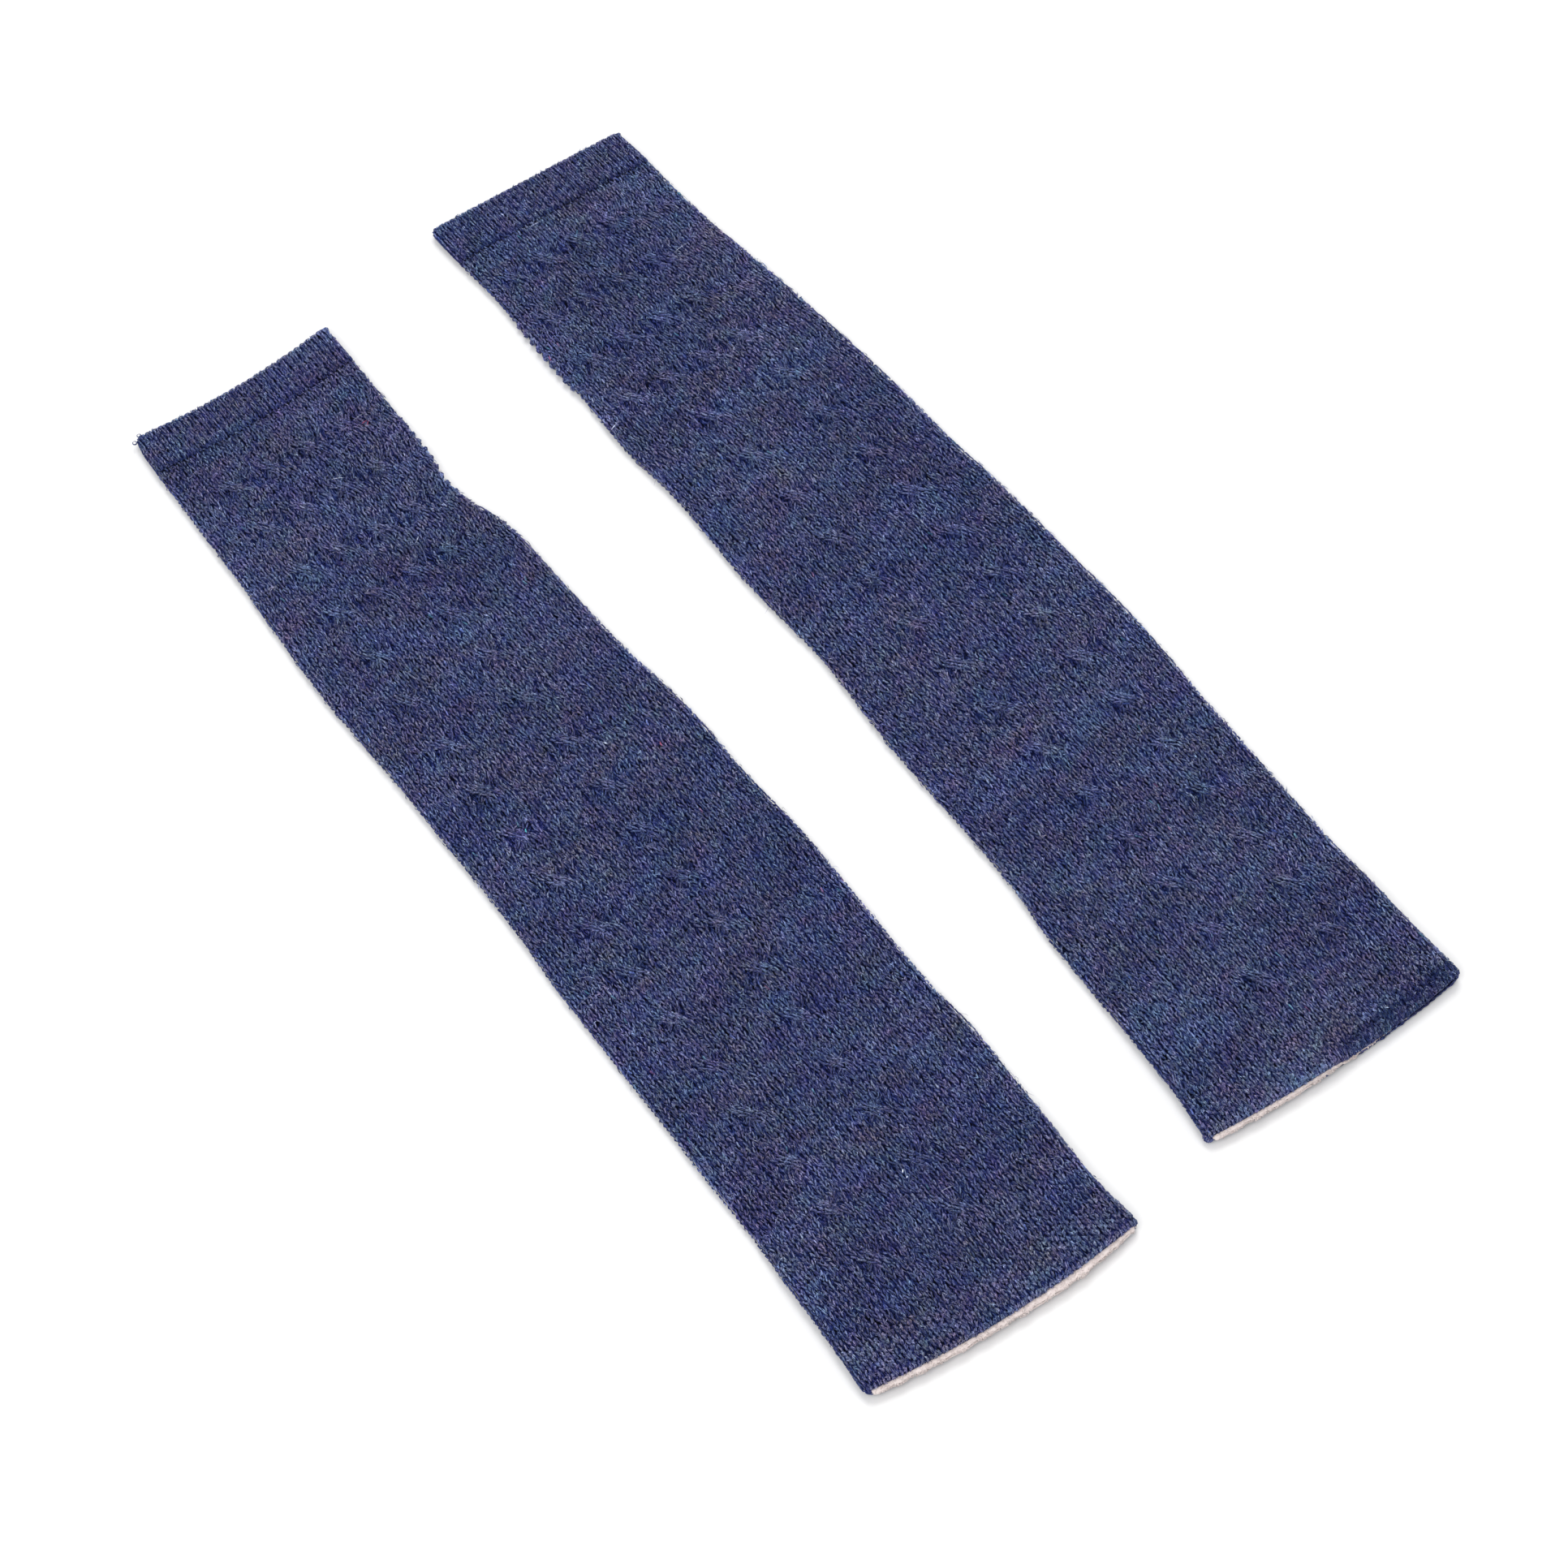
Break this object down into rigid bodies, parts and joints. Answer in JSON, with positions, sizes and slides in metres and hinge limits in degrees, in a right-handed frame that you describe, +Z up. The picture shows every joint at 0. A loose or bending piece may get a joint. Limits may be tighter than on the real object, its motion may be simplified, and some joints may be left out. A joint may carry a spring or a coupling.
{
  "type": "pair of fingerless mitts",
  "caption": "Pair of long fingerless mitts in blue wool knit, laid flat side by side, with raised cable crossings, thumb slits and a cream lining that shows at the elbow ends.",
  "frame": {"origin": "middle of the pair's footprint, on the surface that the mitts lie on", "axes": "+Y along the mitts towards their hand ends, +X from the left mitt to the right mitt, +Z up"},
  "size_m": [0.2126, 0.3966, 0.0078],
  "materials": {
    "blue_wool": "matte, fuzzy",
    "cream_lining": "matte, brushed"
  },
  "bodies": {
    "root": {"left_mitt_body": "blue_wool", "left_mitt_hand_band": "blue_wool", "left_mitt_elbow_band": "blue_wool", "left_mitt_lining": "cream_lining", "right_mitt_body": "blue_wool", "right_mitt_hand_band": "blue_wool", "right_mitt_elbow_band": "blue_wool", "right_mitt_lining": "cream_lining"}
  },
  "joints": []
}
